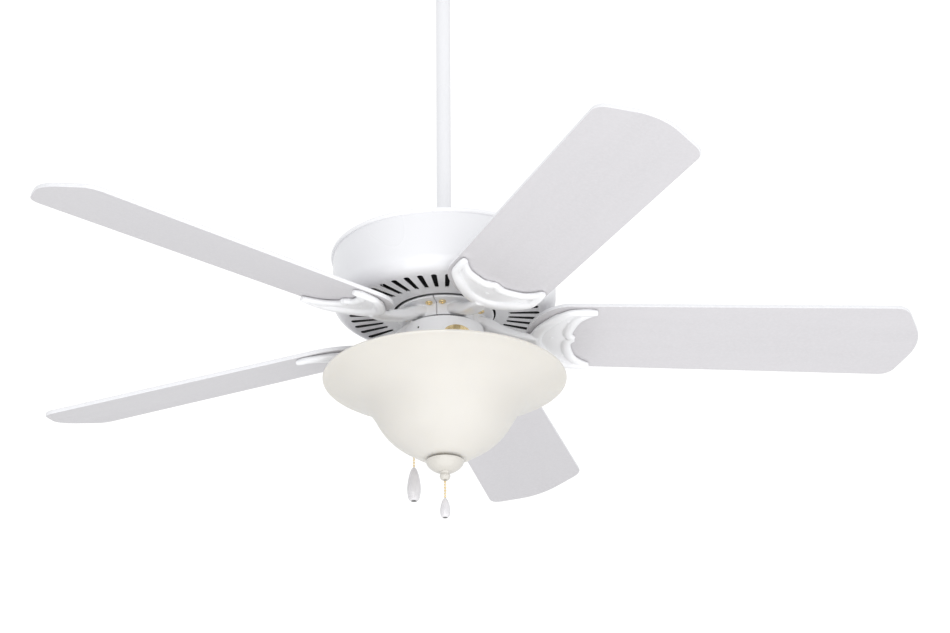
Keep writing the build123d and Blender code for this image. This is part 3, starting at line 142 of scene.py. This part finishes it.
class Shader:
    """A material's node tree, with short calls for the nodes used here."""

    def __init__(self, name):
        self.material = bpy.data.materials.new(name)
        self.material.use_nodes = True
        self.tree = self.material.node_tree
        self.surface = self.tree.nodes["Principled BSDF"]
        self.place = self.node("ShaderNodeTexCoord").outputs["Object"]

    def node(self, kind, **settings):
        made = self.tree.nodes.new(kind)
        for key, value in settings.items():
            setattr(made, key, value)
        return made

    def link(self, start, end):
        self.tree.links.new(start, end)

    def fixed(self, **values):
        """Values that are the same all over, set on the shader's own sockets."""
        for key, value in values.items():
            self.surface.inputs[key.replace("_", " ")].default_value = value

    def noise(self, scale, detail=3.0, roughness=0.5, stretch=None, turn=0.0):
        """Noise with this many cells to the metre, optionally stretched along an axis turned about Z."""
        texture = self.node("ShaderNodeTexNoise")
        texture.inputs["Scale"].default_value = scale
        texture.inputs["Detail"].default_value = detail
        texture.inputs["Roughness"].default_value = roughness
        if stretch is None:
            self.link(self.place, texture.inputs["Vector"])
        else:
            mapping = self.node("ShaderNodeMapping", vector_type="TEXTURE")
            mapping.inputs["Rotation"].default_value = (0, 0, turn)
            mapping.inputs["Scale"].default_value = stretch
            self.link(self.place, mapping.inputs["Vector"])
            self.link(mapping.outputs["Vector"], texture.inputs["Vector"])
        return texture.outputs["Fac"]

    def between(self, value, low, high, start=0.35, end=0.65):
        """A number that goes from low to high as value goes from start to end."""
        ranged = self.node("ShaderNodeMapRange")
        ranged.inputs["From Min"].default_value = start
        ranged.inputs["From Max"].default_value = end
        ranged.inputs["To Min"].default_value = low
        ranged.inputs["To Max"].default_value = high
        self.link(value, ranged.inputs["Value"])
        return ranged.outputs["Result"]

    def mixed(self, factor, first, second):
        """A colour between two, each a colour or another node's output."""
        mix = self.node("ShaderNodeMix", data_type="RGBA")
        self.link(factor, mix.inputs["Factor"])
        for socket, colour in (("A", first), ("B", second)):
            inlet = [i for i in mix.inputs if i.name == socket and i.type == "RGBA"][0]
            if isinstance(colour, tuple):
                inlet.default_value = (*colour, 1)
            else:
                self.link(colour, inlet)
        return [o for o in mix.outputs if o.type == "RGBA"][0]

    def bump(self, value, depth, below=None):
        """Relief of this depth in metres, on top of another relief where one is given."""
        relief = self.node("ShaderNodeBump")
        relief.inputs["Strength"].default_value = 1.0
        relief.inputs["Distance"].default_value = depth
        self.link(value, relief.inputs["Height"])
        if below is not None:
            self.link(below, relief.inputs["Normal"])
        return relief.outputs["Normal"]


def shade_between(colour, share):
    """The same colour, a share lighter or darker."""
    return tuple(min(1.0, part * (1 + share)) for part in colour)


def mottled(shader, cloud, colour, spread):
    """The colour, a share darker where the cloud is 0 and as much lighter where it is 1."""
    return shader.mixed(cloud, shade_between(colour, -spread), shade_between(colour, spread))


def plain_material(name, colour, roughness, scale, spread=0.03, metallic=0.0, coat=0.0, depth=0.00004,
                   stretch=None):
    """Surface with mottled colour, uneven gloss and a fine relief, at a scale in cells to the metre."""
    shader = Shader(name)
    broad = shader.noise(scale, stretch=stretch)
    fine = shader.noise(scale * 9, stretch=stretch)
    tone = mottled(shader, shader.between(broad, 0, 1), colour, spread)
    shader.link(tone, shader.surface.inputs["Base Color"])
    shader.link(shader.between(fine, roughness * 0.85, roughness * 1.2), shader.surface.inputs["Roughness"])
    shader.link(shader.bump(fine, depth), shader.surface.inputs["Normal"])
    shader.fixed(Metallic=metallic, Coat_Weight=coat)
    return shader


def white_enamel(name, colour, peel=SPRAYED_PEEL):
    """Gloss enamel with orange peel, and dust settled as a faint broad mottle."""
    shader = Shader(name)
    peel_scale, peel_depth = peel
    broad = shader.noise(9, detail=0)
    dimples = shader.noise(peel_scale, detail=1.5)
    specks = shader.noise(2600, detail=1)
    cloud = shader.between(broad, 0, 1, start=0, end=1)
    tone = mottled(shader, cloud, colour, 0.015)
    shader.link(tone, shader.surface.inputs["Base Color"])
    shader.link(shader.between(broad, 0.25, 0.32, start=0, end=1), shader.surface.inputs["Roughness"])
    relief = shader.bump(dimples, peel_depth)
    relief = shader.bump(specks, 0.000006, below=relief)
    shader.link(relief, shader.surface.inputs["Normal"])
    shader.fixed(Coat_Weight=0.35, Coat_Roughness=0.08)
    return shader


def inner_side(shader, centre):
    """1 on faces that look towards a centre line point, and 0 on those that look away."""
    normal = shader.node("ShaderNodeTexCoord").outputs["Normal"]
    away = shader.node("ShaderNodeVectorMath", operation="SUBTRACT")
    away.inputs[1].default_value = centre
    shader.link(shader.place, away.inputs[0])
    facing = shader.node("ShaderNodeVectorMath", operation="DOT_PRODUCT")
    shader.link(away.outputs["Vector"], facing.inputs[0])
    shader.link(normal, facing.inputs[1])
    return shader.between(facing.outputs["Value"], 1, 0, start=0.0005, end=0.0025)


def housing_enamel():
    """White enamel outside; inside, where the vents look in, a near-black painted shade in place of the dark
    interior.
    """
    shader = white_enamel("housing_enamel", WHITE)
    inside = inner_side(shader, (0, 0, level(HOUSING_MIDDLE)))
    painted = shader.surface.inputs["Base Color"].links[0].from_socket
    # painted shade: faces that look towards the housing's middle get a near-black mottle instead of the
    # enamel
    painted_shade = shader.mixed(shader.between(shader.noise(60), 0, 1), PAINTED_SHADE_DARK, PAINTED_SHADE_LIGHTER)
    shader.link(shader.mixed(inside, painted, painted_shade), shader.surface.inputs["Base Color"])
    return shader


def glazed_drop(name, lowest, cap_height):
    """Glazed ceramic, with a dark metal end cap over the lowest part of the drop."""
    shader = plain_material(name, GLAZE, 0.12, 60, spread=0.02, coat=0.5)
    cap_top = lowest + cap_height
    height = shader.node("ShaderNodeSeparateXYZ")
    shader.link(shader.place, height.inputs[0])
    capped = shader.between(height.outputs["Z"], 1, 0, start=cap_top, end=cap_top + CAP_EDGE)
    glaze = shader.surface.inputs["Base Color"].links[0].from_socket
    metal = shader.mixed(shader.between(shader.noise(900), 0, 1), CAP_DARK, CAP_WORN)
    shader.link(shader.mixed(capped, glaze, metal), shader.surface.inputs["Base Color"])
    return shader.material


def blade_lacquer(number, azimuth):
    """Lacquered wood-core blade: mottled satin faces with a faint grain along the blade, and white edges."""
    shader = Shader(f"blade_lacquer_{number}")
    grain = shader.noise(26, detail=4, roughness=0.62, stretch=(9, 1, 1), turn=azimuth)
    pores = shader.noise(520, detail=3, roughness=0.7, stretch=(2.2, 1, 1), turn=azimuth)
    mottle = shader.noise(230, detail=2)
    face = shader.mixed(shader.between(pores, 0, 1), BLADE_GREY, shade_between(BLADE_GREY, 0.05))
    face = shader.mixed(shader.between(mottle, 0, 0.6), face, shade_between(BLADE_GREY, -0.035))
    face = shader.mixed(shader.between(grain, 0, 0.5), face, shade_between(BLADE_GREY, 0.06))
    normal = shader.node("ShaderNodeTexCoord").outputs["Normal"]
    facing = shader.node("ShaderNodeVectorMath", operation="DOT_PRODUCT")
    facing.inputs[1].default_value = blade_frame(azimuth).col[2].xyz
    shader.link(normal, facing.inputs[0])
    squarely = shader.node("ShaderNodeMath", operation="ABSOLUTE")
    shader.link(facing.outputs["Value"], squarely.inputs[0])
    edge = shader.between(squarely.outputs["Value"], 1, 0, start=0.55, end=0.9)
    rim = shader.mixed(shader.between(mottle, 0, 1), WHITE, shade_between(WHITE, -0.04))
    shader.link(shader.mixed(edge, face, rim), shader.surface.inputs["Base Color"])
    shader.link(shader.between(grain, 0.3, 0.42), shader.surface.inputs["Roughness"])
    relief = shader.bump(grain, 0.00005)
    relief = shader.bump(pores, 0.00003, below=relief)
    shader.link(relief, shader.surface.inputs["Normal"])
    shader.fixed(Coat_Weight=0.05, Coat_Roughness=0.22, Specular_IOR_Level=0.2)
    return shader.material


def opal_glass(name, colour):
    """Acid-frosted opal glass: soft, slightly cloudy, with light scattered inside it."""
    shader = Shader(name)
    cloud = shader.noise(14, detail=4)
    frost = shader.noise(1700, detail=2)
    ripple = shader.noise(38, detail=1)
    tone = mottled(shader, shader.between(cloud, 0, 1), colour, 0.012)
    shader.link(tone, shader.surface.inputs["Base Color"])
    shader.link(shader.between(frost, 0.36, 0.48), shader.surface.inputs["Roughness"])
    relief = shader.bump(ripple, 0.00012)
    relief = shader.bump(frost, 0.000008, below=relief)
    shader.link(relief, shader.surface.inputs["Normal"])
    shader.fixed(Subsurface_Weight=0.35, Subsurface_Radius=(0.012, 0.011, 0.009), Subsurface_Scale=1.0,
                 Coat_Weight=0.1, Coat_Roughness=0.3)
    return shader.material


def polished_brass(name):
    """Lacquered brass with tarnish that darkens it in patches."""
    shader = Shader(name)
    tarnish = shader.noise(240, detail=4)
    scratches = shader.noise(900, detail=2, stretch=(1, 6, 1))
    tone = shader.mixed(shader.between(tarnish, 0, 1), BRASS_DULL, BRASS_BRIGHT)
    shader.link(tone, shader.surface.inputs["Base Color"])
    shader.link(shader.between(scratches, 0.16, 0.32), shader.surface.inputs["Roughness"])
    shader.link(shader.bump(scratches, 0.000008), shader.surface.inputs["Normal"])
    shader.fixed(Metallic=1.0)
    return shader.material


def blade_frame(azimuth):
    """Matrix of a blade's own axes, in columns: along it, across it, and up out of it."""
    pitched = Matrix.Rotation(BLADE_PITCH, 4, "X")
    raised = Matrix.Rotation(-BLADE_RISE, 4, "Y")
    return Matrix.Translation((0, 0, BLADE_Z)) @ Matrix.Rotation(azimuth, 4, "Z") @ raised @ pitched


def build_materials():
    """Materials by name: one for each slot in use, and one for each piece with looks of its own."""
    made = {
        # painted light: the white-enamel pieces and the blade irons get lighter copies of the enamel white
        "white_enamel": white_enamel("white_enamel", WHITE_PAINTED_LIGHT).material,
        "iron_enamel": white_enamel("iron_enamel", IRON_WHITE_PAINTED_LIGHT, CAST_PEEL).material,
        "frosted_glass": opal_glass("frosted_glass", FROSTED_CREAM),
        "bulb_glass": opal_glass("bulb_glass", BULB_WHITE),
        "brass": polished_brass("brass"),
        "housing_enamel": housing_enamel().material,
        "rod_enamel": white_enamel("rod_enamel", WHITE).material,
        "cream_enamel": white_enamel("cream_enamel", CREAM).material,
    }
    for name, values in PLAIN_MATERIALS.items():
        made[name] = plain_material(name, **values).material
    for number, azimuth in enumerate(BLADE_AZIMUTHS, start=1):
        made[f"blade_{number}"] = blade_lacquer(number, azimuth)
    for name, cap_height in FOB_CAPS.items():
        lowest = min(vertex.co.z for vertex in nodes[name].data.vertices)
        made[name] = glazed_drop(name, lowest, cap_height)
    return made


def paint_cad_nodes(materials):
    """Gives every CAD node its own material where it has one, or else the material of its slot."""
    own = {f"blade_{number}": f"blade_{number}" for number in range(1, 6)}
    # the rotor's lower shell gets the near-black painted shade
    own.update(housing_body="housing_enamel", downrod="rod_enamel", rotor_shell_bottom="rotor_painted_shade",
               finial="cream_enamel", finial_cap="cream_enamel", fan_fob="fan_fob", light_fob="light_fob")
    for part in frame["record"]["subparts"]:
        node = nodes[part["node"]]
        node.data.materials.clear()
        node.data.materials.append(materials[own.get(part["node"], part["material_slot"])])


# ---------------------------------------------------------------- mesh helpers
CURVE_STEPS = 8  # points of a smooth curve from one given point to the next


def smooth_row(row, steps):
    """Points along a smooth curve through a row of tuples of any length (Catmull-Rom)."""
    ends = [row[0], *row, row[-1]]
    out = []
    for before, start, end, after in zip(ends, ends[1:], ends[2:], ends[3:]):
        for step in range(steps):
            t = step / steps
            out.append(tuple(
                0.5 * (2 * b + (c - a) * t + (2 * a - 5 * b + 4 * c - d) * t * t
                       + (3 * b - a - 3 * c + d) * t * t * t)
                for a, b, c, d in zip(before, start, end, after)))
    out.append(tuple(row[-1]))
    return out


def add_object(name, mesh, material, body, replaced):
    """Finished piece with its material, its body and the CAD nodes it stands for."""
    piece = bpy.data.objects.new(name, mesh)
    bpy.context.scene.collection.objects.link(piece)
    mesh.materials.clear()
    mesh.materials.append(material)
    mesh.shade_smooth()
    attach(piece, body)
    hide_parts(*replaced)


def skin_rings(bm, rings):
    """Closed skin over a row of rings with equal point counts, with flat ends."""
    made = [[bm.verts.new(point) for point in ring] for ring in rings]
    for first, second in zip(made, made[1:]):
        for index in range(len(first)):
            following = (index + 1) % len(first)
            bm.faces.new((first[index], first[following], second[following], second[index]))
    bm.faces.new(list(reversed(made[0])))
    bm.faces.new(made[-1])


def rounded(part, squareness):
    """Cosine or sine of an oval's angle, pushed outwards where the oval is squarer than an ellipse."""
    return abs(part) ** (2 / squareness) * (1 if part >= 0 else -1)


def sweep_bead(bm, stations, turn, squareness=2.0, sides=20):
    """Rounded bead through stations (x, y, z, width, height) in mm, its width kept in the local XY plane."""
    row = smooth_row(stations, CURVE_STEPS)
    rings = []
    for index, (x, y, z, width, height) in enumerate(row):
        ahead = row[min(index + 1, len(row) - 1)]
        behind = row[max(index - 1, 0)]
        heading = Vector([end - start for start, end in zip(behind[:3], ahead[:3])]).normalized()
        side = Vector((-heading.y, heading.x, 0)).normalized()
        up = heading.cross(side).normalized()
        ring = []
        for corner in range(sides):
            angle = 2 * pi * corner / sides
            across = rounded(cos(angle), squareness) * width / 2
            above = rounded(sin(angle), squareness) * height / 2
            point = Vector((x, y, z)) + side * across + up * above
            ring.append(turn @ (point * MM))
        rings.append(ring)
    skin_rings(bm, rings)


def extrude_outline(bm, outline, low, high, turn):
    """Flat plate from a closed outline of (x, y) in mm, between two heights in mm."""
    rings = [[turn @ (Vector((x, y, height)) * MM) for x, y in outline] for height in (low, high)]
    skin_rings(bm, rings)


def cast_smooth(bm, name, voxel, rounds):
    """One cast body from overlapping closed shells: joined by voxels, then smoothed."""
    bmesh.ops.recalc_face_normals(bm, faces=bm.faces)
    raw = bpy.data.meshes.new(name)
    bm.to_mesh(raw)
    bm.free()
    holder = bpy.data.objects.new(name + "_raw", raw)
    bpy.context.scene.collection.objects.link(holder)
    join = holder.modifiers.new("join", "REMESH")
    join.mode = "VOXEL"
    join.voxel_size = voxel
    soften = holder.modifiers.new("soften", "SMOOTH")
    soften.factor = 0.5
    soften.iterations = rounds
    depsgraph = bpy.context.evaluated_depsgraph_get()
    mesh = bpy.data.meshes.new_from_object(holder.evaluated_get(depsgraph))
    bpy.data.objects.remove(holder)
    return mesh


# ---------------------------------------------------------------- blade irons
# beads and panel: u along the blade from the fan's axis, v across it, height out of it, all in mm
OUTER_BEAD_HALF = (
    # u, v, height, width, bead height
    (203, -57.2, -4.6, 8, 7), (196, -57.4, -4.8, 9.5, 8.5), (181, -57.2, -4.8, 10, 9),
    (165, -54.5, -4.8, 11, 9.5), (146.5, -40, -4.8, 13.5, 10), (129.5, -20.5, -4.8, 15.5, 10),
)
OUTER_BEAD_MIDDLE = ((123, 0, -4.8, 17, 10),)
BRACE_HALF = (
    (200, -56, -4.0, 8, 7), (190, -51.5, -4.0, 10, 8), (178, -42, -4.0, 12.5, 8), (171.5, -30, -4.0, 13.5, 8),
    (167.5, -16, -4.0, 13, 8), (168.5, -7, -4.0, 12, 8), (175.5, 0, -4.0, 9, 7),
)
PANEL_OUTER = ((200, -60), (180, -60.5), (143, -45), (116, 0), (143, 45), (180, 60.5), (200, 60))
PANEL_BRACE = ((200, 55), (182, 42), (172, 18), (177, 0), (172, -18), (182, -42), (200, -55))
ARM = (
    # distance from the axis, y, height over the blade plane, width, depth, in mm at azimuth 0
    (44.5, 0, 18.2, 30, 15.5), (52, 0, 16.6, 28.5, 16.5), (60, 0, 14, 27, 17), (69, 0, 10, 26, 16.5),
    (78, 0, 5.8, 25, 15.5), (95, 0, 0.4, 24.5, 13.5), (108, 0, -2.4, 24, 12), (118, 0, -4, 22, 10.5),
    (126, 0, -4.8, 17, 9),
)
PANEL_BOTTOM, PANEL_TOP = -3.4, -0.4
PLATE_START = 0.107  # metres from the axis to where the plate lies under the blade
PLATE_GAP = 0.0001   # metres between the plate's top and the blade
FOOT_HALF_ANGLE = 35.6
FOOT_INNER, FOOT_OUTER = 42.7, 67.4
FOOT_BOTTOM, FOOT_TOP = 26.2, 29.2
SKIRT_OUTER = 46.5
SKIRT_BOTTOM, SKIRT_TOP = 9.6, 28
CAST_VOXEL = 0.001
CAST_ROUNDS = 3


def mirrored(stations):
    """The same stations on the other side of the plate."""
    return tuple((u, -v, *others) for u, v, *others in stations)


def ring_sector(inner, outer, half_angle, steps=40):
    """Outline of a sector of a flat ring, in mm, centred on azimuth 0."""
    angles = [radians(-half_angle + 2 * half_angle * step / steps) for step in range(steps + 1)]
    outside = [(outer * cos(angle), outer * sin(angle)) for angle in angles]
    inside = [(inner * cos(angle), inner * sin(angle)) for angle in reversed(angles)]
    return outside + inside


def build_blade_irons(materials):
    """Cast blade irons: foot, straight arm, and a crescent plate with raised rounded beads."""
    bm = bmesh.new()
    plate_turn = blade_frame(0)
    hub_turn = Matrix.Translation((0, 0, BLADE_Z))
    outer_bead = OUTER_BEAD_HALF + OUTER_BEAD_MIDDLE + mirrored(reversed(OUTER_BEAD_HALF))
    for bead in (outer_bead, BRACE_HALF, mirrored(BRACE_HALF)):
        sweep_bead(bm, bead, plate_turn)
    panel = smooth_row(PANEL_OUTER, CURVE_STEPS) + smooth_row(PANEL_BRACE, CURVE_STEPS)
    extrude_outline(bm, panel, PANEL_BOTTOM, PANEL_TOP, plate_turn)
    sweep_bead(bm, ARM, hub_turn, squareness=3.2, sides=28)
    foot = ring_sector(FOOT_INNER, FOOT_OUTER, FOOT_HALF_ANGLE)
    extrude_outline(bm, foot, FOOT_BOTTOM, FOOT_TOP, hub_turn)
    skirt = ring_sector(FOOT_INNER, SKIRT_OUTER, FOOT_HALF_ANGLE)
    extrude_outline(bm, skirt, SKIRT_BOTTOM, SKIRT_TOP, hub_turn)
    mesh = cast_smooth(bm, "blade_iron", CAST_VOXEL, CAST_ROUNDS)
    unturned = plate_turn.inverted()
    for vertex in mesh.vertices:
        local = unturned @ vertex.co
        if local.x > PLATE_START:
            local.z = min(local.z, -PLATE_GAP)
            vertex.co = plate_turn @ local
    for number, azimuth in enumerate(BLADE_AZIMUTHS, start=1):
        turned = mesh.copy()
        turned.transform(Matrix.Rotation(azimuth, 4, "Z"))
        add_object(f"blade_iron_cast_{number}", turned, materials["iron_enamel"], "rotor",
                   [f"blade_iron_{number}"])


# ---------------------------------------------------------------- light and surroundings
FLOOR_Z = -12.0  # far down, so that the fan can be looked at from below
FLOOR_HALF_SIZE = 300.0
WORLD_COLOUR = (0.98, 0.99, 1.0, 1)
WORLD_LIGHT = 0.93
BACKDROP_COLOUR = (1, 1, 1, 1)
BACKDROP_LIGHT = 1.1
SOFT_BOXES = (
    # name, place, width and height, power in watts
    ("key", (-0.4, -3.6, -1.3), (2.6, 2.2), 23),
    ("fill", (2.4, -1.6, -2.0), (1.8, 1.8), 9),
    ("bounce", (0.1, -1.3, -2.7), (3.6, 3.6), 38),
)


def add_area_light(name, place, target, size, power):
    """Oblong soft box that shines from a place towards a target."""
    data = bpy.data.lights.new(name, "AREA")
    data.shape = "RECTANGLE"
    data.size, data.size_y = size
    data.energy = power
    light = bpy.data.objects.new(name, data)
    bpy.context.scene.collection.objects.link(light)
    light.location = place
    light.rotation_mode = "QUATERNION"
    light.rotation_quaternion = (Vector(target) - Vector(place)).to_track_quat("-Z", "Y")


def add_surroundings():
    """Pale floor far below the fan, white surroundings and the soft boxes."""
    bm = bmesh.new()
    bmesh.ops.create_grid(bm, x_segments=1, y_segments=1, size=FLOOR_HALF_SIZE)
    mesh = bpy.data.meshes.new("floor")
    bm.to_mesh(mesh)
    bm.free()
    floor = bpy.data.objects.new("floor", mesh)
    bpy.context.scene.collection.objects.link(floor)
    floor.location = (0, 0, FLOOR_Z)
    mesh.materials.append(plain_material("floor_paint", FLOOR_WHITE, 0.7, 3, spread=0.004).material)
    world = bpy.data.worlds.new("studio")
    bpy.context.scene.world = world
    world.use_nodes = True
    tree = world.node_tree
    lit = tree.nodes["Background"]
    lit.inputs["Color"].default_value = WORLD_COLOUR
    lit.inputs["Strength"].default_value = WORLD_LIGHT
    seen = tree.nodes.new("ShaderNodeBackground")
    seen.inputs["Color"].default_value = BACKDROP_COLOUR
    seen.inputs["Strength"].default_value = BACKDROP_LIGHT
    choice = tree.nodes.new("ShaderNodeMixShader")
    ray = tree.nodes.new("ShaderNodeLightPath")
    tree.links.new(ray.outputs["Is Camera Ray"], choice.inputs["Fac"])
    tree.links.new(lit.outputs["Background"], choice.inputs[1])
    tree.links.new(seen.outputs["Background"], choice.inputs[2])
    tree.links.new(choice.outputs["Shader"], tree.nodes["World Output"].inputs["Surface"])
    for name, place, size, power in SOFT_BOXES:
        add_area_light(name, place, (0, 0, BLADE_Z), size, power)
    bpy.context.scene.view_settings.view_transform = "Standard"


add_camera()
add_surroundings()
materials = build_materials()
paint_cad_nodes(materials)
build_blade_irons(materials)
